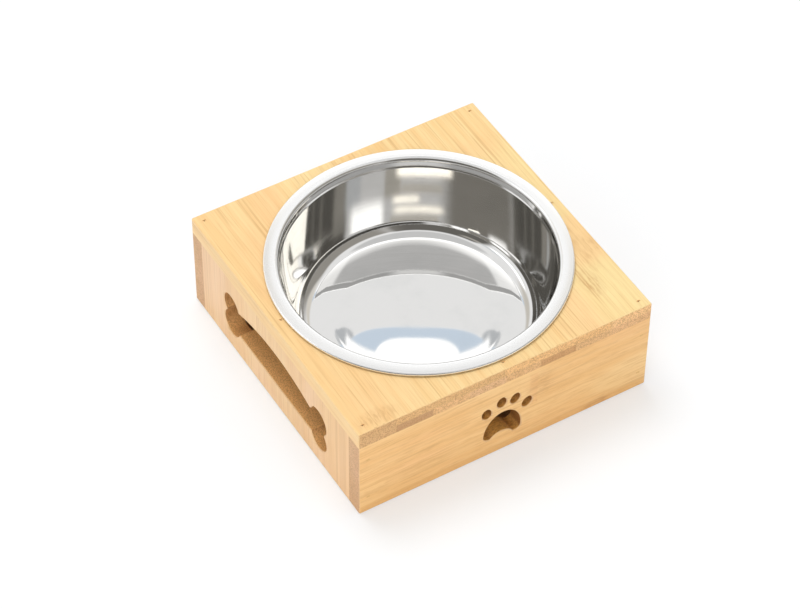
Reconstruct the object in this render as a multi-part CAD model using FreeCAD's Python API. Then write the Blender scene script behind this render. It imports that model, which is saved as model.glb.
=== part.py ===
import FreeCAD, Part
import math
import os

# Pressed steel bowl, sized on its inner face, which is the face that shows
neck_diameter = 142.0
flange_width = 8.0
rim_thickness = 2.4
hem_width = 3.5
shoulder_round = 1.6
neck_depth = 4.9
step_width = 0.6
step_height = 1.0
step_round = 0.8
bowl_depth = 44.4
floor_corner_diameter = 123.5
floor_round = 10.0
sheet_thickness = 0.6

# Bamboo stand, built round the bowl
seat_clearance = 1.4
bowl_to_wall = 3.4
bowl_to_ground = 17.4
wall_thickness = 10.0
top_thickness = 10.0
edge_round = 0.8
cut_out_bevel = 0.5

# Bone-shaped hand holes through the left and right boards
bone_length = 105.0
bone_lobe_diameter = 15.7
bone_lobe_spacing = 12.5
bone_shaft_height = 16.3
bone_arch_span = 73.6
bone_arch_rise = 6.2
bone_below_middle = 0.9
bone_corner_round = 1.0

# Paw-shaped cut-out through the front board, measured from the middle of the pad
pad_width = 22.0
pad_arch_height = 14.3
pad_lobe_diameter = 6.4
pad_notch_depth = 3.5
pad_notch_diameter = 16.6
pad_tilt = 3.5
pad_left_of_middle = 2.0
pad_below_middle = 11.0
toe_width = 5.6
toe_height = 7.1
toe_tilt = 8.5
inner_toe_side = 4.0
inner_toe_rise = 21.3
inner_toe_lean = 10.0
outer_toe_side = 12.0
outer_toe_rise = 16.0
outer_toe_lean = 16.5

# Brad nails of flat wire that hold the boards together, beside the glue
nail_width = 1.2
nail_breadth = 1.0
nail_head_width = 1.8
nail_head_height = 0.6
nail_length = 16.0
nail_point = 1.5
nail_tip_breadth = 0.2
nail_set = 0.4
nail_fit = 0.02
nail_crossing_gap = 4.0
low_nail_height = 11.0

# Places that follow from the sizes above
neck_radius = neck_diameter / 2
rim_radius = neck_radius + flange_width
inner_half = neck_radius + sheet_thickness + bowl_to_wall
stand_half = inner_half + wall_thickness
stand_height = bowl_to_ground + sheet_thickness + bowl_depth - rim_thickness
wall_height = stand_height - top_thickness
hole_radius = neck_radius + sheet_thickness + seat_clearance
wall_middle = stand_half - wall_thickness / 2
nail_tip_height = stand_height - nail_set - nail_length
high_nail_height = nail_tip_height - nail_crossing_gap - nail_breadth / 2

origin = FreeCAD.Vector(0, 0, 0)
right = FreeCAD.Vector(1, 0, 0)
back = FreeCAD.Vector(0, 1, 0)
up = FreeCAD.Vector(0, 0, 1)


def rounded_path(corners):
    # Straight runs joined by tangent arcs, with each corner given as distance out, height and round
    points = [FreeCAD.Vector(out, 0, height) for out, height, bend in corners]
    edges = []
    reached = points[0]
    bends = [bend for out, height, bend in corners[1:-1]]
    for before, point, after, bend in zip(points, points[1:], points[2:], bends):
        toward_before = (before - point).normalize()
        toward_after = (after - point).normalize()
        half_angle = toward_before.getAngle(toward_after) / 2
        bisector = (toward_before + toward_after).normalize()
        reach = bend / math.tan(half_angle)
        arc_start = point + toward_before * reach
        arc_end = point + toward_after * reach
        arc_middle = point + bisector * (bend / math.sin(half_angle) - bend)
        if not arc_start.isEqual(reached, Part.Precision.confusion()):
            edges.append(Part.LineSegment(reached, arc_start).toShape())
        edges.append(Part.Arc(arc_start, arc_middle, arc_end).toShape())
        reached = arc_end
    edges.append(Part.LineSegment(reached, points[-1]).toShape())
    return Part.Wire(edges)


def bowl():
    # One sheet turned about the axis: flat hem on the board, rolled edge, flange, neck, step, wall, floor
    rim_top = stand_height + rim_thickness
    step_top = rim_top - neck_depth
    floor_level = rim_top - bowl_depth
    face_line = rounded_path([
        (rim_radius - hem_width, stand_height, 0),
        (rim_radius, stand_height, rim_thickness / 2),
        (rim_radius, rim_top, rim_thickness / 2),
        (neck_radius, rim_top, shoulder_round),
        (neck_radius, step_top, step_round),
        (neck_radius - step_width, step_top - step_height, step_round),
        (floor_corner_diameter / 2, floor_level, floor_round),
        (0, floor_level, 0),
    ])
    sheet = face_line.makeOffset2D(sheet_thickness, fill=True, openResult=True)
    return sheet.revolve(origin, up, 360)


def disc(radius, across, height):
    # Round face in the plane of the front board
    edge = Part.Circle(FreeCAD.Vector(across, 0, height), back, radius).toShape()
    return Part.Face(Part.Wire(edge))


def oval(width, height):
    # Elliptical face in the plane of the front board, bounded by four stretched quarter circles
    stretch = FreeCAD.Matrix()
    stretch.scale(width / 2, 1, height / 2)
    quarters = [Part.makeCircle(1, origin, back, start, start + 90) for start in (0, 90, 180, 270)]
    return Part.Face(Part.Wire([quarter.transformGeometry(stretch) for quarter in quarters]))


def plate(left, low, width, height):
    # Rectangular face in the plane of the front board
    return Part.makePlane(width, height, FreeCAD.Vector(left, 0, low + height), back, right)


def turned(face, clockwise):
    # The same face, turned clockwise about the origin as seen from the front
    copy = face.copy()
    copy.rotate(origin, back, clockwise)
    return copy


def one_face(first, others):
    # Faces that overlap, joined into one outline
    return first.fuse(others).removeSplitter().Faces[0]


def bone_outline():
    # Four lobes on a shaft whose upper edge is arched for the fingers
    lobe_radius = bone_lobe_diameter / 2
    lobe_side = bone_length / 2 - lobe_radius
    lobe_rise = bone_lobe_spacing / 2
    shaft_rise = bone_shaft_height / 2
    shaft = plate(-lobe_side, -shaft_rise, 2 * lobe_side, bone_shaft_height)
    lobes = [disc(lobe_radius, side * lobe_side, rise * lobe_rise) for side in (-1, 1) for rise in (-1, 1)]
    arch_ends = [FreeCAD.Vector(side * bone_arch_span / 2, 0, shaft_rise) for side in (-1, 1)]
    arch_top = FreeCAD.Vector(0, 0, shaft_rise + bone_arch_rise)
    arch_line = Part.Arc(arch_ends[0], arch_top, arch_ends[1]).toShape()
    arch_foot = Part.LineSegment(arch_ends[1], arch_ends[0]).toShape()
    arch = Part.Face(Part.Wire([arch_line, arch_foot]))
    outline = one_face(shaft, lobes + [arch])
    return outline.makeOffset2D(bone_corner_round).makeOffset2D(-bone_corner_round)


def pad_outline():
    # Half an ellipse on two round lobes, hollowed between them from below
    half_width = pad_width / 2
    lobe_radius = pad_lobe_diameter / 2
    lobe_side = half_width - lobe_radius
    upper_half = plate(-half_width, 0, pad_width, pad_arch_height)
    arch = oval(pad_width, 2 * pad_arch_height).common(upper_half).Faces[0]
    lobes = [disc(lobe_radius, side * lobe_side, 0) for side in (-1, 1)]
    base = plate(-lobe_side, -lobe_radius, 2 * lobe_side, lobe_radius)
    notch_top = pad_notch_depth - lobe_radius
    notch = disc(pad_notch_diameter / 2, 0, notch_top - pad_notch_diameter / 2)
    return one_face(arch, lobes + [base]).cut(notch).Faces[0]


def paw_outlines():
    # The pad and its four toes, each an outline of its own
    toes = []
    for side, rise, lean in (
        (inner_toe_side, inner_toe_rise, inner_toe_lean),
        (outer_toe_side, outer_toe_rise, outer_toe_lean),
    ):
        for hand in (-1, 1):
            toe = turned(oval(toe_width, toe_height), hand * lean)
            toe.translate(FreeCAD.Vector(hand * side, 0, rise))
            toes.append(turned(toe, toe_tilt))
    return [turned(pad_outline(), pad_tilt)] + toes


def bone_cutter():
    # The bone outline, carried across both side boards
    cutter = bone_outline().extrude(back * (2 * stand_half))
    cutter.translate(FreeCAD.Vector(0, -stand_half, wall_height / 2 - bone_below_middle))
    cutter.rotate(origin, up, -90)
    return cutter


def paw_cutter():
    # The paw outlines, carried through the front board
    place = FreeCAD.Vector(-pad_left_of_middle, -stand_half, wall_height / 2 - pad_below_middle)
    solids = [outline.extrude(back * wall_thickness) for outline in paw_outlines()]
    for solid in solids:
        solid.translate(place)
    return solids


def mirrored_plate(half_outline, thickness):
    # Upright plate, centred on the front plane, whose outline is the given half and its mirror image
    outline = half_outline + [(-across, height) for across, height in reversed(half_outline)]
    points = [FreeCAD.Vector(across, -thickness / 2, height) for across, height in outline]
    return Part.Face(Part.makePolygon(points + points[:1])).extrude(back * thickness)


def nail(spare, rise):
    # Flat wire with a T-shaped head and a chisel point, as what its front and side views have in common
    half_head = nail_head_width / 2 + spare
    half_width = nail_width / 2 + spare
    half_breadth = nail_breadth / 2 + spare
    half_tip = nail_tip_breadth / 2 + spare
    under_head = -nail_head_height - spare
    tip = -nail_length - spare
    front_view = [(half_head, rise), (half_head, under_head), (half_width, under_head), (half_width, tip)]
    side_view = [(half_breadth, rise), (half_breadth, tip + nail_point), (half_tip, tip)]
    across = mirrored_plate(side_view, 2 * half_head)
    across.rotate(origin, up, 90)
    return mirrored_plate(front_view, 2 * half_breadth).common(across).Solids[0]


def driven(places, direction, spare, rise):
    # One nail at each place, driven along the given direction
    solids = []
    for place in places:
        solid = nail(spare, rise)
        solid.Placement = FreeCAD.Placement(place, FreeCAD.Rotation(-up, direction))
        solids.append(solid)
    return solids


def top_nail_places():
    # At the four corners and the middle of each side, over the middle of the boards below
    level = stand_height - nail_set
    steps = (-wall_middle, 0, wall_middle)
    return [FreeCAD.Vector(x, y, level) for x in steps for y in steps if x or y]


def end_nail_places(side):
    # Two above each other at both ends of the front (-1) or back (1) board, into the side boards
    level = side * (stand_half - nail_set)
    heights = (low_nail_height, high_nail_height)
    return [FreeCAD.Vector(x, level, z) for x in (-wall_middle, wall_middle) for z in heights]


def eased_box(low, high, is_exposed):
    # A plain board with its exposed edges rounded
    size = high - low
    solid = Part.makeBox(size.x, size.y, size.z, low)
    return solid.makeFillet(edge_round, [edge for edge in solid.Edges if is_exposed(edge.CenterOfMass)])


def eased_cut(board, cutters, outward):
    # The board with cut-outs whose outlines are bevelled on its outer and inner faces
    cut = board.cut(cutters).Solids[0]
    rims = []
    for furthest in (max, min):
        face = furthest(cut.Faces, key=lambda side: side.CenterOfMass.dot(outward))
        inner_wires = [wire for wire in face.Wires if not wire.isSame(face.OuterWire)]
        rims += [edge for wire in inner_wires for edge in wire.Edges]
    return cut.makeChamfer(cut_out_bevel, rims)


def top_board():
    # Square board on top of the walls, with a round hole for the bowl
    plain = eased_box(
        FreeCAD.Vector(-stand_half, -stand_half, wall_height),
        FreeCAD.Vector(stand_half, stand_half, stand_height),
        lambda centre: centre.z > wall_height + edge_round,
    )
    hole = Part.makeCylinder(hole_radius, top_thickness, up * wall_height)
    return eased_cut(plain, [hole], up)


def long_wall():
    # The front wall before its cut-out, which runs the whole width of the stand
    return eased_box(
        FreeCAD.Vector(-stand_half, -stand_half, 0),
        FreeCAD.Vector(stand_half, -inner_half, wall_height),
        lambda centre: centre.y < -inner_half - edge_round and centre.z < wall_height - edge_round,
    )


def left_board():
    # Side wall between the front and back walls, with its bone-shaped hand hole
    plain = eased_box(
        FreeCAD.Vector(-stand_half, -inner_half, 0),
        FreeCAD.Vector(-inner_half, inner_half, wall_height),
        lambda centre: centre.x < -wall_middle and centre.z < edge_round,
    )
    return eased_cut(plain, [bone_cutter()], -right)


nail_rows = {
    "top_nails": (top_nail_places(), -up),
    "front_nails": (end_nail_places(-1), back),
    "back_nails": (end_nail_places(1), -back),
}
nail_holes = []
pieces = {"bowl": bowl()}
for name, (places, direction) in nail_rows.items():
    pieces[name] = Part.makeCompound(driven(places, direction, 0, 0))
    nail_holes += driven(places, direction, nail_fit, nail_set)

boards = {
    "top_board": top_board(),
    "front_board": eased_cut(long_wall(), paw_cutter(), -back),
    "back_board": long_wall().mirror(origin, back),
    "left_board": left_board(),
    "right_board": left_board().mirror(origin, right),
}
for name, solid in boards.items():
    pieces[name] = solid.cut(nail_holes)

os.makedirs("parts", exist_ok=True)
for name, shape in pieces.items():
    shape.exportStep(os.path.join("parts", name + ".step"))
    print(name, len(shape.Solids), "solids", round(shape.Volume), "cubic mm")
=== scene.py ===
import math

import bpy
import numpy as np
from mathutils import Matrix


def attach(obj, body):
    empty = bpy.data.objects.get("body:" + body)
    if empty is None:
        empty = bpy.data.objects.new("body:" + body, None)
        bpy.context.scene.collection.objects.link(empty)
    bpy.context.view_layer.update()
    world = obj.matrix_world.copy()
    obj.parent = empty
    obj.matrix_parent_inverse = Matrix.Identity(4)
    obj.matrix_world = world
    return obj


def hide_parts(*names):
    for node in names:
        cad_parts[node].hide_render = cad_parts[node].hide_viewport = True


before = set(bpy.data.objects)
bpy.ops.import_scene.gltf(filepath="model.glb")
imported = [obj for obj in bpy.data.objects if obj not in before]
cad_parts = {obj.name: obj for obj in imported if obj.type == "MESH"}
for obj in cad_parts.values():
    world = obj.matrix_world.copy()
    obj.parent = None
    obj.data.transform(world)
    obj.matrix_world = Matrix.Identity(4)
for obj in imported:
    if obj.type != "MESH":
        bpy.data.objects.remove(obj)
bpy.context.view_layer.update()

print("frame loaded:", ", ".join(sorted(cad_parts)))


# A socket of a node tree that takes part in sums; each sum adds its own Math node
class Flow:
    def __init__(self, tree, socket=None):
        self.tree = tree
        self.socket = socket

    # adds a node: its settings come first, then the values or links of its sockets
    def make(self, kind, settings=None, inputs=None, output=0):
        node = self.tree.nodes.new(kind)
        for name, value in (settings or {}).items():
            setattr(node, name, value)
        for key, value in (inputs or {}).items():
            if isinstance(value, Flow):
                self.tree.links.new(value.socket, node.inputs[key])
            else:
                node.inputs[key].default_value = value
        return Flow(self.tree, node.outputs[output] if node.outputs else None)

    def math(self, operation, *values):
        return self.make("ShaderNodeMath", {"operation": operation}, dict(enumerate(values)))

    def __add__(self, other):
        return self.math("ADD", self, other)

    def __sub__(self, other):
        return self.math("SUBTRACT", self, other)

    def __rsub__(self, other):
        return self.math("SUBTRACT", other, self)

    def __mul__(self, other):
        return self.math("MULTIPLY", self, other)

    def __truediv__(self, other):
        return self.math("DIVIDE", self, other)

    def __pow__(self, other):
        return self.math("POWER", self, other)

    def __abs__(self):
        return self.math("ABSOLUTE", self)

    __radd__ = __add__
    __rmul__ = __mul__

    # 0 below low, 1 above high and a soft step between; low above high turns it round
    def step(self, low, high):
        return self.make("ShaderNodeMapRange", {"interpolation_type": "SMOOTHSTEP"},
                         {"Value": self, "From Min": low, "From Max": high})

    # 1 between low and high and 0 beyond them, with soft ends
    def between(self, low, high, soft):
        return self.step(low - soft, low + soft) * self.step(high + soft, high - soft)

    # this flow is the share of the second colour
    def mix(self, first, second):
        return self.make("ShaderNodeMix", {"data_type": "RGBA"}, {0: self, 6: first, 7: second}, output=2)

    def parts(self):
        node = self.make("ShaderNodeSeparateXYZ", inputs={0: self}).socket.node
        return [Flow(self.tree, socket) for socket in node.outputs]

    def vector(self, x, y, z):
        return self.make("ShaderNodeCombineXYZ", inputs={0: x, 1: y, 2: z})

    def noise(self, vector, scale=1.0, detail=2.0, roughness=0.5):
        return self.make("ShaderNodeTexNoise", {"noise_dimensions": "3D"},
                         {"Vector": vector, "Scale": scale, "Detail": detail, "Roughness": roughness})

    def chance(self, vector):
        return self.make("ShaderNodeTexWhiteNoise", {"noise_dimensions": "3D"}, {"Vector": vector})

    def bump(self, height, strength, distance):
        return self.make("ShaderNodeBump", inputs={"Height": height, "Strength": strength, "Distance": distance})


def opaque(colour):
    return (*colour, 1.0)


pureWhite = opaque((1.0, 1.0, 1.0))


# New material without nodes, and the flow that adds them
def newMaterial(name):
    material = bpy.data.materials.new(name)
    material.use_nodes = True
    material.node_tree.nodes.clear()
    return material, Flow(material.node_tree)


def surface(flow, inputs):
    shader = flow.make("ShaderNodeBsdfPrincipled", inputs=inputs)
    flow.make("ShaderNodeOutputMaterial", inputs={"Surface": shader})


# Place on the object in millimetres
def placeOn(flow):
    metres = flow.make("ShaderNodeTexCoord", output="Object")
    return flow.make("ShaderNodeVectorMath", {"operation": "SCALE"}, {0: metres, "Scale": 1000.0}).parts()


# Direction that the surface faces, in the object's own axes
def facingOf(flow):
    return flow.make("ShaderNodeTexCoord", output="Normal").parts()


# Bamboo board: glued strips, each with its own tone, fibres along the grain, nodes across them. along, across
# and deep are the axes of the grain, of the row of strips and of the layers.
def bamboo(name, wood):
    material, flow = newMaterial(name)
    place, facing = placeOn(flow), facingOf(flow)
    order = ["xyz".index(axis) for axis in wood["axes"]]
    along, across, deep = [place[axis] for axis in order]
    endFacing, deepFacing = abs(facing[order[0]]), abs(facing[order[2]])
    layer = flow.math("FLOOR", (deep - wood["layerStart"]) / wood["layerDepth"])
    count = (across - wood["firstSeam"]) / wood["stripWidth"]
    strip = flow.math("FLOOR", count)
    tone = flow.chance(flow.vector(strip, layer, wood["seed"]))
    stalk = tone * wood["stalk"]  # each strip is cut from another place of the stalk

    def spot(rates, start):
        return flow.vector(across * rates[0], deep * rates[1], along * rates[2] + start)

    def pattern(kind, start):
        rates, octaves, roughness = wood[kind]
        return flow.noise(spot(rates, start), detail=octaves, roughness=roughness)

    # slow drift of hue, broad streaks, fine fibres, thin broken lines and the bundles that end as dots
    drift = pattern("driftNoise", wood["seed"])
    streak = pattern("streakNoise", stalk)
    fibre = pattern("fibreNoise", stalk)
    thread = pattern("threadNoise", stalk)
    whole = pattern("breakNoise", stalk).step(*wood["breakFrom"])
    lines = thread.step(*wood["lineFrom"]) * (wood["lineLeast"] + whole * (1 - wood["lineLeast"]))
    bundle = flow.make("ShaderNodeTexVoronoi", {"feature": "F1"},
                       {"Vector": spot(wood["bundleRates"], stalk), "Scale": 1.0})
    dots = bundle.step(*wood["dotFrom"])

    colour = streak.step(*wood["warmFrom"]).mix(opaque(wood["pale"]), opaque(wood["warm"]))
    colour = (tone.step(0.0, 1.0) * wood["stripContrast"]).mix(colour, opaque(wood["deepTone"]))
    colour = (drift.step(*wood["blushFrom"]) * wood["drift"]).mix(colour, opaque(wood["blush"]))
    colour = (drift.step(*wood["sallowFrom"]) * wood["drift"]).mix(colour, opaque(wood["sallow"]))
    for left, right, start, end, soft, patch, strength in wood["patches"]:
        share = across.between(left, right, soft) * along.between(start, end, soft) * strength
        colour = share.mix(colour, opaque(patch))
    colour = (fibre.step(*wood["fibreFrom"]) * wood["fibre"]).mix(colour, opaque(wood["line"]))
    colour = (lines * wood["lines"]).mix(colour, opaque(wood["line"]))
    colour = (dots * fibre.step(*wood["dotFibreFrom"]) * wood["dots"]).mix(colour, opaque(wood["line"]))

    # nodes of the stalk: brown flecks gathered round their own places
    rates, octaves, roughness = wood["fleckNoise"]
    fleckSpot = flow.vector(across * rates[0], along * rates[2], deep * rates[1])
    fleck = flow.noise(fleckSpot, detail=octaves, roughness=roughness).step(*wood["fleckFrom"])
    for centre, reach, strength in wood["nodes"]:
        far = ((across - centre[0]) / reach[0]) ** 2.0 + ((along - centre[1]) / reach[1]) ** 2.0
        share = far.step(1.0, 0.0) * (wood["fleckLeast"] + fleck * (1 - wood["fleckLeast"])) * strength
        colour = share.mix(colour, opaque(wood["nodeColour"]))

    # the end of the grain is darker and speckled, each layer in its own tone
    speckle = pattern("speckleNoise", 0.0)
    endColour = flow.math("FLOORED_MODULO", layer, 2.0).mix(opaque(wood["endLower"]), opaque(wood["endUpper"]))
    endColour = (tone * wood["endContrast"]).mix(endColour, opaque(wood["endBlock"]))
    for left, right, low, high, soft, patch, strength in wood["blocks"]:
        share = across.between(left, right, soft) * deep.between(low, high, soft) * strength
        endColour = share.mix(endColour, opaque(patch))
    endColour = (speckle.step(*wood["speckleFrom"]) * wood["speckle"]).mix(endColour, opaque(wood["endDark"]))
    ends = endFacing.step(*wood["endFacing"])
    colour = ends.mix(colour, endColour)

    # walls of the sawn cut-outs are raw, brown and speckled, with painted shade where they don't face up
    inside = abs(along).step(wood["cutTo"] + wood["cutSoft"], wood["cutTo"] - wood["cutSoft"])
    cut = deepFacing.step(*wood["cutFacing"]) * inside * wood["cut"]
    # painted shade: cut walls that face sideways or down are darkened towards cutDark
    cutShade = facing[2].step(*wood["cutShadeFacing"]) * wood["cutShade"]
    colour = cut.mix(colour, opaque(wood["cutColour"]))
    colour = (cut * speckle.step(*wood["cutSpeckleFrom"]) * wood["cutSpeckle"]).mix(colour, opaque(wood["cutDark"]))
    colour = (cut * cutShade).mix(colour, opaque(wood["cutDark"]))

    # eased edges are a little worn
    squarest = flow.math("MAXIMUM", flow.math("MAXIMUM", abs(facing[0]), abs(facing[1])), abs(facing[2]))
    worn = squarest.step(*wood["edgeFacing"]) * (1 - cut) * wood["edgeWear"]
    colour = worn.mix(colour, opaque(wood["edgeColour"]))

    # thin glue lines between the strips
    fromMiddle = abs(count - strip - 0.5)
    seam = fromMiddle.step(0.5 - wood["seamWidth"] / wood["stripWidth"], 0.5) * wood["seam"]
    colour = seam.mix(colour, opaque(wood["line"]))

    relief = sum(part * depth for part, depth in zip((fibre, streak, dots, lines, seam), wood["relief"]))
    surface(flow, {
        "Base Color": colour,
        "Roughness": wood["rough"] + fibre * wood["fibreRough"] + ends * wood["endRough"] + cut * wood["cutRough"],
        "Normal": flow.bump(relief, *wood["bump"]),
        "Coat Weight": wood["coat"] * (1 - cut),
        "Coat Roughness": wood["coatRough"],
    })
    return material


# Values that the boards share. A noise is (waves per millimetre across the grain, in depth, along it), octaves and
# roughness. A pair that ends in From is where a pattern starts to show and where it shows in full, and a pair
# that ends in Facing says the same of how squarely the surface faces that way.
woodShared = {
    "layerDepth": 5.0, "stalk": 90.0, "seamWidth": 0.35, "cutTo": 200.0, "cutSoft": 0.5, "blocks": [],
    "driftNoise": ((0.03, 0.05, 0.011), 2.0, 0.5), "streakNoise": ((0.22, 0.22, 0.006), 3.0, 0.5),
    "fibreNoise": ((1.1, 1.1, 0.03), 4.0, 0.65), "threadNoise": ((0.9, 0.9, 0.008), 1.0, 0.5),
    "breakNoise": ((0.08, 0.08, 0.03), 2.0, 0.5), "speckleNoise": ((1.75, 1.75, 0.3), 2.0, 0.7),
    "fleckNoise": ((0.8, 0.8, 0.16), 3.0, 0.6), "bundleRates": (1.7, 1.7, 0.045),
    "warmFrom": (0.36, 0.66), "blushFrom": (0.52, 0.68), "sallowFrom": (0.48, 0.32), "fibreFrom": (0.42, 0.75),
    "lineFrom": (0.56, 0.66), "breakFrom": (0.4, 0.62), "dotFrom": (0.42, 0.18), "dotFibreFrom": (0.35, 0.6),
    "fleckFrom": (0.45, 0.62), "speckleFrom": (0.45, 0.6), "cutSpeckleFrom": (0.42, 0.62),
    "endFacing": (0.45, 0.8), "cutFacing": (0.6, 0.3), "cutShadeFacing": (0.9, 0.2), "edgeFacing": (0.98, 0.75),
    "drift": 0.6, "fibre": 0.3, "lines": 0.45, "lineLeast": 0.25, "dots": 0.15, "fleckLeast": 0.3, "seam": 0.15,
    "speckle": 0.6, "endContrast": 0.25, "cut": 0.0, "cutSpeckle": 0.55, "cutShade": 0.55, "edgeWear": 0.3,
    "nodeColour": (0.50, 0.22, 0.06), "edgeColour": (0.90, 0.64, 0.35), "endUpper": (0.74, 0.46, 0.20),
    "endLower": (0.77, 0.46, 0.225), "endDark": (0.40, 0.20, 0.07), "endBlock": (0.54, 0.29, 0.12),
    "cutColour": (0.90, 0.49, 0.17), "cutDark": (0.25, 0.09, 0.02),
    "relief": (0.6, 0.3, -0.25, -0.3, -0.5),  # of fibres, streaks, dots, lines and seams
    "bump": (0.12, 0.0003), "rough": 0.40, "fibreRough": 0.18, "endRough": 0.12, "cutRough": 0.4,
    "coat": 0.12, "coatRough": 0.3,
}

# Each kind of board, in millimetres: patches of another tone (across from, to, along from, to, softness, colour,
# strength), nodes ((across, along), (reach both ways), strength) and blocks on the end grain (across from, to,
# depth from, to, softness, colour, strength)
topWood = {
    **woodShared, "axes": "yxz", "layerStart": 50.0, "firstSeam": -64.0, "stripWidth": 20.8, "seed": 3.0,
    "lines": 0.6, "fibre": 0.4, "speckle": 0.75, "stripContrast": 0.2,
    "pale": (0.94, 0.70, 0.345), "warm": (0.89, 0.59, 0.255), "deepTone": (0.87, 0.54, 0.21),
    "blush": (0.93, 0.57, 0.27), "sallow": (0.93, 0.73, 0.36), "line": (0.66, 0.39, 0.15),
    "endUpper": (0.80, 0.49, 0.21), "endLower": (0.84, 0.50, 0.225), "endDark": (0.43, 0.205, 0.06),
    "patches": [
        (40, 90, -90, 50, 10, (0.93, 0.75, 0.36), 0.55), (-90, -46, -90, 90, 1, (0.92, 0.60, 0.28), 0.45),
        (44, 58, -90, -55, 6, (0.97, 0.59, 0.29), 0.5), (66, 90, -46, -12, 5, (0.93, 0.56, 0.27), 0.45),
        (-50, 30, -90, -62, 6, (0.88, 0.62, 0.29), 0.3),
    ],
    "nodes": [
        ((66.5, -57.5), (7.0, 12.0), 0.42), ((78.5, -34.5), (9.0, 11.0), 0.35),
        ((74.0, -46.0), (5.0, 8.0), 0.25), ((-71.0, -79.0), (15.0, 7.0), 0.4),
    ],
    "blocks": [
        (-64, -43, 50, 55, 0.5, (0.50, 0.27, 0.12), 0.8), (19, 40, 50, 55, 0.5, (0.57, 0.29, 0.105), 0.8),
        (61, 90, 50, 60, 0.5, (0.84, 0.48, 0.23), 0.6), (-22, -1, 50, 55, 0.5, (0.80, 0.50, 0.28), 0.5),
        (-90, -1.6, 55, 60, 0.5, (0.76, 0.46, 0.19), 0.7), (-1.6, 61, 55, 60, 0.5, (0.93, 0.56, 0.23), 0.8),
        (61, 90, 55, 60, 0.5, (0.97, 0.61, 0.28), 0.85), (-90, -64, 50, 60, 0.5, (0.66, 0.40, 0.18), 0.6),
    ],
}
wallWood = {
    **woodShared, "axes": "xzy", "layerStart": -85.0, "firstSeam": 5.0, "stripWidth": 13.0, "seed": 11.0,
    "fibreNoise": ((1.1, 1.1, 0.09), 4.0, 0.65), "fibre": 0.5, "dots": 0.3, "stripContrast": 0.25,
    "pale": (0.90, 0.57, 0.24), "warm": (0.86, 0.51, 0.195), "deepTone": (0.81, 0.43, 0.14),
    "blush": (0.90, 0.52, 0.22), "sallow": (0.91, 0.62, 0.28), "line": (0.64, 0.33, 0.11),
    "endUpper": (0.72, 0.44, 0.23), "endLower": (0.72, 0.43, 0.23), "endDark": (0.42, 0.22, 0.095),
    "cut": 0.85, "cutTo": 84.0, "cutColour": (0.72, 0.335, 0.055), "cutDark": (0.19, 0.065, 0.014), "cutShade": 0.8,
    "patches": [
        (-9, 5, -90, 90, 0.5, (0.78, 0.43, 0.14), 0.7), (14, 18, -70, 0, 1.5, (0.74, 0.40, 0.14), 0.3),
        (25, 47, 13.5, 18, 0.8, (0.80, 0.40, 0.16), 0.3),
    ],
    "nodes": [
        ((37.0, 20.0), (11.0, 11.0), 0.42), ((2.5, 54.0), (3.5, 11.0), 0.7), ((25.7, 17.8), (0.8, 0.8), 0.9),
    ],
    "blocks": [(-5, 24, -90, -60, 6, (0.63, 0.36, 0.165), 0.6)],
}
sideWood = {
    **woodShared, "axes": "zyx", "layerStart": -85.0, "firstSeam": -66.0, "stripWidth": 11.0, "seed": 29.0,
    "stripContrast": 0.45, "cut": 0.85, "nodes": [],
    "pale": (0.89, 0.61, 0.33), "warm": (0.86, 0.55, 0.27), "deepTone": (0.81, 0.50, 0.25),
    "blush": (0.90, 0.60, 0.37), "sallow": (0.90, 0.64, 0.34), "line": (0.66, 0.38, 0.17),
    "patches": [
        (-90, -50, -10, 60, 8, (0.85, 0.53, 0.25), 0.6), (-72, -66, -10, 60, 0.4, (0.70, 0.42, 0.20), 0.35),
        (-64, -62, -10, 60, 0.4, (0.70, 0.42, 0.20), 0.3),
    ],
}
backWood = {
    **wallWood, "seed": 47.0, "blocks": [],
    "patches": [
        (31, 44, -90, 90, 0.5, (0.80, 0.45, 0.16), 0.5), (18, 22, -20, 60, 1.5, (0.74, 0.40, 0.14), 0.3),
    ],
    "nodes": [((30.0, -36.0), (10.0, 9.0), 0.3), ((8.0, 58.0), (5.0, 8.0), 0.45)],
}
rightWood = {
    **sideWood, "seed": 61.0, "firstSeam": -62.0,
    "patches": [
        (44, 55, -10, 60, 0.4, (0.85, 0.53, 0.25), 0.6), (-40, -38, -10, 60, 0.4, (0.70, 0.42, 0.20), 0.3),
    ],
}
boards = {
    "top_board": bamboo("bambooTop", topWood),
    "front_board": bamboo("bambooFront", wallWood),
    "back_board": bamboo("bambooBack", backWood),
    "left_board": bamboo("bambooLeft", sideWood),
    "right_board": bamboo("bambooRight", rightWood),
}
for board, material in boards.items():
    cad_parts[board].data.materials.clear()
    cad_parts[board].data.materials.append(material)
print("bamboo on", len(boards), "boards")


# Brad nails, driven under the surface and filled: tan filler with the dark head showing in the middle. The nails
# stand in rows, (right, depth, height) from the middle of the stand in millimetres, on both sides of it.
nailFinish = {
    "steel": (0.14, 0.085, 0.05), "filler": (0.88, 0.58, 0.27), "fillerDark": 0.88, "metal": 0.5,
    "mottleScale": 2.5, "mottleOctaves": 3.0, "mottleFrom": (0.35, 0.65), "dotSoft": (0.2, -0.1),
    "rough": 0.55, "roughSpread": 0.3, "bump": (0.2, 0.0001),
    "top_nails": {"rows": ((0.0, 80.0), (0.0, 80.0), ()), "dot": 0.24},
    "front_nails": {"rows": ((80.0,), (), (11.0, 39.1)), "dot": 0.15},
    "back_nails": {"rows": ((80.0,), (), (11.0, 39.1)), "dot": 0.15},
}


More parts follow.
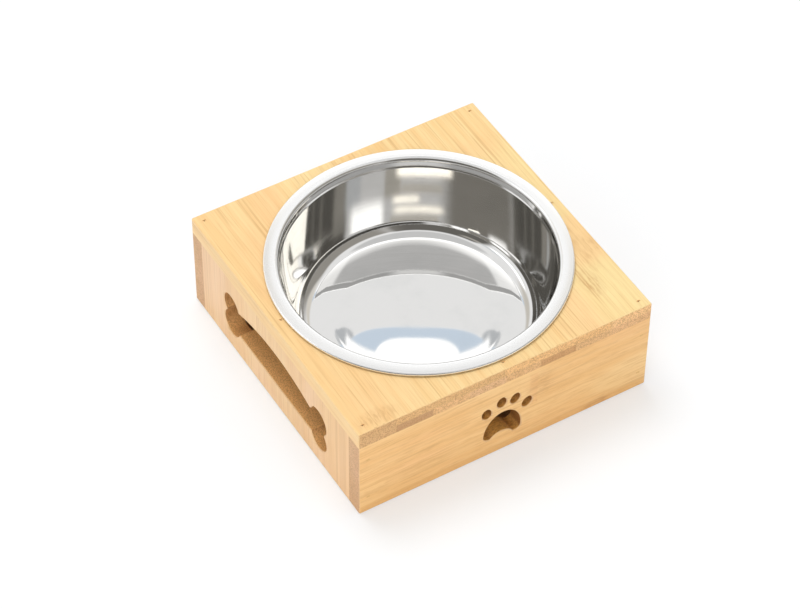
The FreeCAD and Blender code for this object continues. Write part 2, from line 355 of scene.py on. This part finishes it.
def nailSteel(name, finish):
    material, flow = newMaterial(name)
    place = placeOn(flow)
    mottle = flow.noise(flow.vector(*place), scale=finish["mottleScale"], detail=finish["mottleOctaves"])
    squares = []  # of the distance from the nearest nail, along each axis that its rows are given for
    for value, spots in zip(place, finish[name]["rows"]):
        gaps = [abs(abs(value) - spot) for spot in spots]
        while len(gaps) > 1:
            gaps = [flow.math("MINIMUM", gaps[0], gaps[1]), *gaps[2:]]
        squares += [gap * gap for gap in gaps]
    outer, inner = [finish[name]["dot"] + soft for soft in finish["dotSoft"]]
    head = (sum(squares) ** 0.5).step(outer, inner)
    darker = [part * finish["fillerDark"] for part in finish["filler"]]
    filler = mottle.step(*finish["mottleFrom"]).mix(opaque(finish["filler"]), opaque(darker))
    surface(flow, {
        "Base Color": head.mix(filler, opaque(finish["steel"])),
        "Metallic": head * finish["metal"],
        "Roughness": finish["rough"] + mottle * finish["roughSpread"],
        "Normal": flow.bump(mottle, *finish["bump"]),
    })
    return material


for nails in ("top_nails", "front_nails", "back_nails"):
    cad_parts[nails].data.materials.clear()
    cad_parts[nails].data.materials.append(nailSteel(nails, nailFinish))


# Putty that fills the holes over the front and back nails: plain blocks (half width, depth, half height), flush
# with the boards, at the nails' places (right, height), in millimetres
putty = {
    "half": (0.91, 0.38, 0.51), "places": [(-80, 11), (-80, 39.1), (80, 11), (80, 39.1)], "face": 84.99,
    "colour": (0.78, 0.47, 0.185), "darker": (0.66, 0.37, 0.13), "mottleScale": 1.6, "mottleOctaves": 3.0,
    "mottleRoughness": 0.6, "mottleFrom": (0.35, 0.65), "rough": 0.55, "roughSpread": 0.3, "bump": (0.3, 0.0001),
}


def makePutty(filler):
    wide, deep, high = filler["half"]
    corners = np.array([(x, y, z) for x in (-wide, wide) for y in (0, -deep) for z in (-high, high)])
    sides = np.array([(0, 1, 5, 4), (2, 6, 7, 3), (0, 2, 3, 1), (4, 5, 7, 6), (0, 4, 6, 2), (1, 3, 7, 5)])
    spots, faces = [], []
    for right, height in filler["places"]:
        for side in (1, -1):
            faces.append(sides + len(corners) * len(spots))
            spots.append(corners * (side, side, 1) + (right, side * filler["face"], height))
    mesh = bpy.data.meshes.new("nailPutty")
    mesh.from_pydata((np.concatenate(spots) / 1000).tolist(), [], np.concatenate(faces).tolist())
    piece = bpy.data.objects.new("nailPutty", mesh)
    bpy.context.scene.collection.objects.link(piece)
    return piece


# Dried wood putty: mottled, a little browner than the board, with fine pits
def driedPutty(filler):
    material, flow = newMaterial("nailPutty")
    mottle = flow.noise(flow.vector(*placeOn(flow)), scale=filler["mottleScale"], detail=filler["mottleOctaves"],
                        roughness=filler["mottleRoughness"])
    surface(flow, {
        "Base Color": mottle.step(*filler["mottleFrom"]).mix(opaque(filler["colour"]), opaque(filler["darker"])),
        "Roughness": filler["rough"] + mottle * filler["roughSpread"],
        "Normal": flow.bump(mottle, *filler["bump"]),
    })
    return material


filling = makePutty(putty)
filling.data.materials.append(driedPutty(putty))
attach(filling, "stand")
print("nails driven and filled")


# The bowl's section in millimetres: (out from the middle, height, rounding of the corner), from the end of
# the hem under the rim, over the flange and down the wall to the middle of the floor. The wall is very
# slightly barrelled and the floor dips a little, as pressed sheet does.
bowlShape = {
    "corners": [
        (75.5, 60.0, 0.0), (79.0, 60.0, 1.0), (79.0, 61.9, 1.0), (75.6, 62.4, 20.0), (71.0, 62.4, 2.3),
        (71.0, 57.5, 0.8), (70.4, 56.5, 0.8), (67.13, 39.61, 472.0), (61.59, 18.42, 9.0), (47.0, 17.7, 200.0),
        (0.0, 17.7, 0.0),
    ],
    "sheet": 0.6, "arcSteps": 16, "runSteps": 4, "floorSteps": 16, "around": 240,
}


# Rounded line as complex numbers, out + height times i, and the unit normal to the left of the way along it:
# every corner becomes an arc that touches both of its runs
def roundedLine(corners, arcSteps, runSteps, floorSteps):
    points = [complex(out, height) for out, height, _ in corners]
    line, left = [], []
    last = points[0]
    for before, here, after, corner in zip(points, points[1:], points[2:], corners[1:]):
        toBefore = (before - here) / abs(before - here)
        toAfter = (after - here) / abs(after - here)
        half = abs(np.angle(toAfter / toBefore)) / 2
        start = here + toBefore * corner[2] / math.tan(half)
        middle = here + (toBefore + toAfter) / abs(toBefore + toAfter) * corner[2] / math.sin(half)
        end = here + toAfter * corner[2] / math.tan(half)
        sweep = np.angle((end - middle) / (start - middle))
        run = last + (start - last) * np.linspace(0, 1, runSteps, endpoint=False)
        spokes = (start - middle) * np.exp(1j * sweep * np.linspace(0, 1, arcSteps, endpoint=False))
        line += [run, middle + spokes]
        left += [np.full(runSteps, -toBefore * 1j), spokes / corner[2] * -np.sign(sweep)]
        last = end
    run = last + (points[-1] - last) * np.linspace(0, 1, floorSteps)
    line.append(run)
    left.append(np.full(len(run), (points[-1] - last) / abs(points[-1] - last) * 1j))
    return np.concatenate(line), np.concatenate(left)


# A line turned about the axis: point i, step j lies at (out_i sin t_j, out_i cos t_j, height_i). The line's two
# ends are on the axis, so they come once each, at the end.
def spun(line, turn):
    rings = line[1:-1]
    spots = np.stack([np.outer(rings.real, np.sin(turn)), np.outer(rings.real, np.cos(turn)),
                      np.repeat(rings.imag[:, None], len(turn), 1)], -1).reshape(-1, 3)
    return np.concatenate([spots, [[0, 0, line[0].imag], [0, 0, line[-1].imag]]])


# Surface of revolution of a section whose two ends meet the axis, with exact normals
def revolve(name, section, normals, around):
    turn = np.linspace(0, 2 * np.pi, around, endpoint=False)
    count = len(section) - 2
    steps = np.arange(around)
    aheads = (steps + 1) % around
    ring, step = np.meshgrid(np.arange(count - 1), steps, indexing="ij")
    near = ring * around
    ahead = (step + 1) % around
    quads = np.stack([near + step, near + around + step, near + around + ahead, near + ahead], -1).reshape(-1, 4)
    firstCap = np.stack([np.full(around, count * around), steps, aheads], -1)
    lastCap = np.stack([np.full(around, count * around + 1), (count - 1) * around + aheads,
                        (count - 1) * around + steps], -1)
    spots = spun(section, turn) / 1000
    mesh = bpy.data.meshes.new(name)
    mesh.from_pydata(spots.tolist(), [], quads.tolist() + firstCap.tolist() + lastCap.tolist())
    mesh.polygons.foreach_set("use_smooth", np.ones(len(mesh.polygons), bool))
    mesh.normals_split_custom_set_from_vertices(spun(normals, turn).tolist())
    mesh.update()
    piece = bpy.data.objects.new(name, mesh)
    bpy.context.scene.collection.objects.link(piece)
    return piece


# The sheet's outer line is the inner one moved along its normal; together they are one closed section
def makeBowl(shape):
    inner, left = roundedLine(shape["corners"], shape["arcSteps"], shape["runSteps"], shape["floorSteps"])
    outer = inner + left * shape["sheet"]
    section = np.concatenate([outer[::-1], inner])
    normals = np.concatenate([left[::-1], -left])
    return revolve("steelBowl", section, normals, shape["around"])


# A noise is its waves per millimetre, octaves and roughness. A pair that ends in From is where something starts to
# show and where it shows in full: up from the ground for the wall, out from the axis for the flange.
steelFinish = {
    "colour": (0.765, 0.76, 0.75), "smudge": (0.72, 0.72, 0.71), "flange": (0.92, 0.92, 0.915),
    "brushColour": (0.69, 0.685, 0.67), "contactShadeColour": (0.20, 0.15, 0.11),
    "floorRoughness": 0.015, "wallRoughness": 0.055, "flangeRoughness": 0.26, "smudgeRoughness": 0.02,
    "ringRoughness": 0.01, "wallFrom": (22.0, 34.0), "flangeFrom": (71.2, 72.4),
    "ringNoise": (3.0, 3.0, 0.6), "smudgeNoise": (0.045, 4.0, 0.6), "smudgeFrom": (0.45, 0.8),
    "brushNoise": (0.9, 3.0, 0.7), "brushStretch": 30.0, "brushFrom": (0.42, 0.72), "brush": 0.5,
    "contactShadeOutFrom": (78.0, 78.5), "contactShadeUpFrom": (60.9, 60.4), "contactShadeLeast": 0.6, "bump": (0.004, 0.0002),
}


# Pressed and polished steel: rings left by the polishing wheel, faint smudges, a brushed wall, a satin flange and
# painted shade where the rim rests on the board
def polishedSteel(finish):
    material, flow = newMaterial("polishedSteel")
    place = placeOn(flow)
    out = (place[0] * place[0] + place[1] * place[1]) ** 0.5
    stretch = finish["brushStretch"]

    def pattern(kind, spot):
        rate, octaves, roughness = finish[kind]
        return flow.noise(spot, scale=rate, detail=octaves, roughness=roughness)

    rings = pattern("ringNoise", flow.vector(out, place[2], 0.0))
    smudge = pattern("smudgeNoise", flow.vector(*place)).step(*finish["smudgeFrom"])
    brush = pattern("brushNoise", flow.vector(place[0] / stretch, place[1] / stretch, place[2]))
    wall = place[2].step(*finish["wallFrom"])
    flange = out.step(*finish["flangeFrom"])
    colour = smudge.mix(opaque(finish["colour"]), opaque(finish["smudge"]))
    colour = (wall * brush.step(*finish["brushFrom"]) * finish["brush"]).mix(colour, opaque(finish["brushColour"]))
    colour = flange.mix(colour, opaque(finish["flange"]))

    # painted shade: dark line at the foot of the rim's roll, where it rests on the board
    contactShade = out.step(*finish["contactShadeOutFrom"]) * place[2].step(*finish["contactShadeUpFrom"])
    contactShade = contactShade * (finish["contactShadeLeast"] + rings * (1 - finish["contactShadeLeast"]))
    colour = contactShade.mix(colour, opaque(finish["contactShadeColour"]))

    roughness = finish["floorRoughness"] + wall * (finish["wallRoughness"] - finish["floorRoughness"])
    roughness = roughness + smudge * finish["smudgeRoughness"] + rings * finish["ringRoughness"]
    surface(flow, {
        "Base Color": colour,
        "Metallic": 1.0,
        "Roughness": roughness + flange * (finish["flangeRoughness"] - finish["wallRoughness"]),
        "Normal": flow.bump(rings, *finish["bump"]),
    })
    return material


bowl = makeBowl(bowlShape)
bowl.data.materials.append(polishedSteel(steelFinish))
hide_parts("bowl")
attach(bowl, "bowl")
print("bowl of", len(bowl.data.polygons), "faces")


# Camera of the photograph, in metres and degrees
viewpoint = {
    "lens": 134.2303, "sensor": 36.0, "place": (-0.54892, -0.88512, 1.15382), "turn": (42.7418, -0.3362, -30.9281),
}
cameraData = bpy.data.cameras.new("camera")
cameraData.lens = viewpoint["lens"]
cameraData.sensor_width = viewpoint["sensor"]
camera = bpy.data.objects.new("camera", cameraData)
camera.location = viewpoint["place"]
camera.rotation_euler = [math.radians(angle) for angle in viewpoint["turn"]]
bpy.context.scene.collection.objects.link(camera)
bpy.context.scene.camera = camera
bpy.context.scene.view_settings.view_transform = "Standard"
print("camera placed")


# Studio, in metres: white floor with brown painted shade under the stand, a soft key light from the back and a weak
# fill from the front
studio = {
    "floorSize": 24.0, "floorHeight": -0.0003, "floorColour": (0.95, 0.97, 0.99), "skyLevel": 0.71,
    "shadeUnderFrom": (0.084, 0.082), "shadeUnderColour": (0.55, 0.33, 0.16), "whiteShare": 0.42,
    "lamps": {
        "keyLight": {"place": (-0.1, 0.65, 1.8), "size": 1.0, "power": 14.0},
        "fillLight": {"place": (-0.9, -1.2, 0.5), "size": 1.0, "power": 5.8},
    },
}


squareCorners = ((-1, -1), (1, -1), (1, 1), (-1, 1))


def flatCard(name, corners, material):
    mesh = bpy.data.meshes.new(name)
    mesh.from_pydata([tuple(corner) for corner in corners], [], [tuple(range(len(corners)))])
    mesh.materials.append(material)
    card = bpy.data.objects.new(name, mesh)
    bpy.context.scene.collection.objects.link(card)
    return card


# Shows in polished steel only, and neither lights the object nor shades it
def onlyMirrored(card):
    card.visible_camera = card.visible_diffuse = card.visible_shadow = card.visible_transmission = False


# Material that glows where shown is 1 and is clear elsewhere
def glow(flow, shown, light):
    clear = flow.make("ShaderNodeBsdfTransparent")
    seen = flow.make("ShaderNodeMixShader", inputs={0: shown, 1: clear, 2: light})
    flow.make("ShaderNodeOutputMaterial", inputs={"Surface": seen})


# White paper with painted shade under the stand, tinted brown like the wood's bounce light; the camera sees it partly
# as plain white
def makeFloor(setup):
    half = setup["floorSize"] / 2
    material, flow = newMaterial("floorPaper")
    right, back, _ = flow.make("ShaderNodeTexCoord", output="Object").parts()
    # painted shade and bounce light: the floor under the stand is brown instead of white
    shadeUnder = flow.math("MAXIMUM", abs(right), abs(back)).step(*setup["shadeUnderFrom"])
    colour = shadeUnder.mix(opaque(setup["floorColour"]), opaque(setup["shadeUnderColour"]))
    paper = flow.make("ShaderNodeBsdfDiffuse", inputs={"Color": colour})
    white = flow.make("ShaderNodeEmission", inputs={"Color": pureWhite})
    cameraRay = flow.make("ShaderNodeLightPath", output="Is Camera Ray")
    share = cameraRay * shadeUnder.step(1.0, 0.0) * setup["whiteShare"]
    seen = flow.make("ShaderNodeMixShader", inputs={0: share, 1: paper, 2: white})
    flow.make("ShaderNodeOutputMaterial", inputs={"Surface": seen})
    flatCard("floor", [(x * half, y * half, setup["floorHeight"]) for x, y in squareCorners], material)


# Soft round lamp that points at the object and doesn't show in the steel
def makeLamp(name, lamp):
    data = bpy.data.lights.new(name, "AREA")
    data.shape = "DISK"
    data.size = lamp["size"]
    data.energy = lamp["power"]
    light = bpy.data.objects.new(name, data)
    bpy.context.scene.collection.objects.link(light)
    place = np.array(lamp["place"])
    light.location = place
    down = -place / np.linalg.norm(place)
    light.rotation_euler = (math.acos(-down[2]), 0.0, math.atan2(-down[0], down[1]))
    light.visible_glossy = False


# Lamp that shows in the bowl's floor: it hangs where the floor mirrors the camera. Sizes in millimetres on a
# card: its dark clamps, its blue cover and its bright middle as pairs of ovals (distance from the middle line,
# rise, half width, half height, squareness, colour), and the white cloth that hangs in a curve below the cover,
# which starts outside an oval (rise, half width, half height) and ends at a reach and a drop. It shows in the
# first reflection only.
mirrorLamp = {
    "floorSpot": (-0.0158, -0.0255, 0.0177), "away": 0.6, "half": 80.0,
    "edgeFrom": (1.06, 0.94), "turnsFrom": (1.6, 1.4),
    "ovals": {
        "clamps": (52.5, -15.0, 7.0, 7.5, 2.0, (0.58, 0.60, 0.62)),
        "cover": (0.0, -8.0, 50.0, 15.4, 3.5, (0.71, 0.82, 0.95)),
        "middle": (0.0, 0.0, 31.0, 15.7, 4.0, (1.45, 1.45, 1.45)),
    },
    "cloth": {
        "oval": (-22.0, 51.5, 20.5), "squareness": 2.0, "reach": 51.0, "reachSoft": 0.6,
        "drop": 40.5, "dropSoft": 0.5, "colour": (1.45, 1.45, 1.45),
    },
}


def makeMirrorLamp(lamp, eye):
    spot = np.array(lamp["floorSpot"])
    ray = spot - np.array(eye)
    ray = ray / np.linalg.norm(ray) * (1, 1, -1)  # mirrored in the level floor
    middle = spot + ray * lamp["away"]
    right = np.cross(ray, (0, 0, 1))
    right /= np.linalg.norm(right)
    up = np.cross(right, ray)
    material, flow = newMaterial("mirrorLamp")
    metres = flow.make("ShaderNodeTexCoord", output="Object")
    offset = flow.make("ShaderNodeVectorMath", {"operation": "SUBTRACT"}, {0: metres, 1: tuple(middle)})
    across = flow.make("ShaderNodeVectorMath", {"operation": "DOT_PRODUCT"}, {0: offset, 1: tuple(right)}, "Value")
    rise = flow.make("ShaderNodeVectorMath", {"operation": "DOT_PRODUCT"}, {0: offset, 1: tuple(up)}, "Value")
    across, rise = abs(across) * 1000, rise * 1000

    def inOval(beside, centre, wide, high, square):
        far = abs((across - beside) / wide) ** square + ((rise - centre) / high) ** 2.0
        return far.step(*lamp["edgeFrom"])

    cloth = lamp["cloth"]
    reach, reachSoft = cloth["reach"], cloth["reachSoft"]
    hung = 1 - inOval(0.0, *cloth["oval"], cloth["squareness"])
    hung = hung * across.step(reach + reachSoft, reach - reachSoft)
    hung = hung * rise.between(cloth["oval"][0], cloth["drop"], cloth["dropSoft"])
    colour, shown = opaque(cloth["colour"]), hung
    for *oval, shade in lamp["ovals"].values():
        inside = inOval(*oval) * (1 - hung)
        colour = inside.mix(colour, opaque(shade))
        shown = flow.math("MAXIMUM", shown, inside)
    shown = shown * flow.make("ShaderNodeLightPath", output="Glossy Depth").step(*lamp["turnsFrom"])
    glow(flow, shown, flow.make("ShaderNodeEmission", inputs={"Color": colour}))
    half = lamp["half"] / 1000
    corners = [middle + half * (x * right + y * up) for x, y in squareCorners]
    onlyMirrored(flatCard("mirrorLamp", corners, material))


# White card in front of the stand, which brightens the bowl's left wall from the third reflection on: its distance
# from the middle and its outline (right, height), in millimetres
whiteCard = {
    "front": 60.0, "light": 2.4, "tint": (1.0, 0.97, 0.90), "turnsFrom": (2.4, 2.6),
    "outline": [(38, 75), (135, 75), (135, 198), (44, 160)],
}


def makeWhiteCard(card):
    material, flow = newMaterial("whiteCard")
    shown = flow.make("ShaderNodeLightPath", output="Glossy Depth").step(*card["turnsFrom"])
    light = flow.make("ShaderNodeEmission", inputs={"Color": opaque(card["tint"]), "Strength": card["light"]})
    glow(flow, shown, light)
    corners = [np.array((right, -card["front"], height)) / 1000 for right, height in card["outline"]]
    onlyMirrored(flatCard("whiteCard", corners, material))


# What the steel sees: white walls with screens, windows and a dark room behind the camera. Each has its
# azimuth clockwise from the back (from, to, softness), its angle from straight up (from, to, softness), a
# brightness, a tint, and after how many reflections it shows, 0 for any. The softbox is a round lamp overhead.
plainTint, warmTint = (1.0, 1.0, 1.0), (1.0, 0.95, 0.86)
creamTint, coolTint = (1.0, 0.95, 0.85), (0.97, 1.0, 1.03)
surroundings = {
    "white": 1.0,
    "screens": [
        (-180, 180, 0.1, -9, 24, 2.5, 0.70, plainTint, 0),  # ceiling
        (-176, -84, 5, 33, 82, 4, 0.16, warmTint, 0),  # room behind the camera
        (-106, -84, 5, 40, 49, 3, 0.45, warmTint, 0),  # its lighter side
        (-151, -147, 3, 36, 70, 8, 0.28, warmTint, 3),  # a door frame in the room
        (-134, -128, 3, 36, 70, 8, 0.28, warmTint, 3),  # and a shelf
        (-84, -60, 5, 39.5, 46.3, 1.2, 0.82, coolTint, 0),  # grey screen on the left
        (-74, -24, 6, 46.6, 52, 1.6, 2.6, plainTint, 0),  # left window
        (-35, 62, 7, 52, 62, 1.5, 0.27, warmTint, 3),  # dark ledge at the back
        (-22, 3, 3, 40, 46, 1, 0.68, warmTint, 3),  # grey screen at the back
        (70, 186, 16, 36, 80, 3, 0.36, warmTint, 0),  # dark screen on the right
        (140, 171, 5, 50.5, 59, 1.2, 2.0, plainTint, 3),  # low window on the right
        (163, 198, 4, 54.5, 63, 1.5, 2.0, plainTint, 3),  # its second pane
        (142, 174, 5, 57, 64, 1.5, 2.0, plainTint, 2),  # the same window in the bowl's rounded corner
        (80, 104, 4, 55, 66, 2, 2.0, plainTint, 2),  # and the pane beside it
        (-112, 40, 10, 53, 88, 1.5, 0.10, warmTint, 2),  # dark skirting on the left
        (-3, 80, 6, 37, 42.2, 0.3, 3.0, creamTint, 3),  # upper pane of the back window
        (3, 66, 6, 43.7, 45.4, 0.4, 0.85, warmTint, 3),  # its crossbar
        (-8, 30, 6, 46.0, 47.1, 0.35, 2.8, creamTint, 3),  # its lower pane
        (-6, 66, 8, 47.9, 49.1, 0.35, 2.4, creamTint, 3),  # its sill, in the sun
        (-12, 60, 3, 49.5, 52, 0.4, 0.85, warmTint, 3),  # wall under it
        (8, 56, 10, 52, 72, 4, 1.3, plainTint, 1),  # bright wall low at the back, for the flange
        (-18, 18, 8, 40, 54, 4, 0.7, warmTint, 1),  # greyer wall left of it
        (48, 74, 6, 40, 54, 4, 0.8, warmTint, 1),  # and right of it
        (-73, 118, 8, -9, 48, 3, 1.3, plainTint, 2),  # white walls beside the softbox
        (108, 308, 3, -9, 48, 2, 0.72, plainTint, 2),  # grey cloth on the camera's side
        (108, 308, 3, 38, 48, 8, 0.54, plainTint, 2),  # its darker hem
        (190, 232, 8, 41, 46, 1, 1.05, plainTint, 2),  # white gap in it
    ],
    "softbox": {"azimuth": 29, "tilt": 13.4, "reach": 24, "soft": 2.0, "light": 1.9, "turns": 2},
}


def makeWorld(setup, around):
    world = bpy.data.worlds.new("studio")
    bpy.context.scene.world = world
    world.use_nodes = True
    world.node_tree.nodes.clear()
    flow = Flow(world.node_tree)
    x, y, z = flow.make("ShaderNodeTexCoord", output="Generated").parts()
    halfTurn = 180.0
    degrees = halfTurn / math.pi
    azimuth = flow.math("ARCTAN2", x, y) * degrees
    tilt = flow.math("ARCCOSINE", z) * degrees
    depth = flow.make("ShaderNodeLightPath", output="Glossy Depth")

    # 1 in the reflection of that number
    def isTurn(number):
        return flow.math("COMPARE", depth, float(number), 0.5)

    colour = opaque([around["white"]] * 3)
    for azFrom, azTo, azSoft, upFrom, upTo, upSoft, level, tint, turns in around["screens"]:
        reach = (azTo - azFrom) / 2
        turn = abs(flow.math("WRAP", azimuth - (azFrom + azTo) / 2, halfTurn, -halfTurn))
        share = turn.step(reach + azSoft, reach - azSoft) * tilt.between(upFrom, upTo, upSoft)
        if turns:
            share = share * isTurn(turns)
        colour = share.mix(colour, opaque([level * part for part in tint]))
    box = around["softbox"]
    turn, lean = math.radians(box["azimuth"]), math.radians(box["tilt"])
    middle = (math.sin(turn) * math.sin(lean), math.cos(turn) * math.sin(lean), math.cos(lean))
    away = flow.math("ARCCOSINE", x * middle[0] + y * middle[1] + z * middle[2]) * degrees
    share = away.step(box["reach"] + box["soft"], box["reach"] - box["soft"]) * isTurn(box["turns"])
    colour = share.mix(colour, opaque([box["light"]] * 3))
    glossyRay = flow.make("ShaderNodeLightPath", output="Is Glossy Ray")
    cameraRay = flow.make("ShaderNodeLightPath", output="Is Camera Ray")
    colour = glossyRay.mix(opaque([setup["skyLevel"]] * 3), colour)
    colour = cameraRay.mix(colour, pureWhite)
    back = flow.make("ShaderNodeBackground", inputs={"Color": colour, "Strength": 1.0})
    flow.make("ShaderNodeOutputWorld", inputs={"Surface": back})


makeFloor(studio)
for name, lamp in studio["lamps"].items():
    makeLamp(name, lamp)
makeMirrorLamp(mirrorLamp, viewpoint["place"])
makeWhiteCard(whiteCard)
makeWorld(studio, surroundings)
print("studio lit")
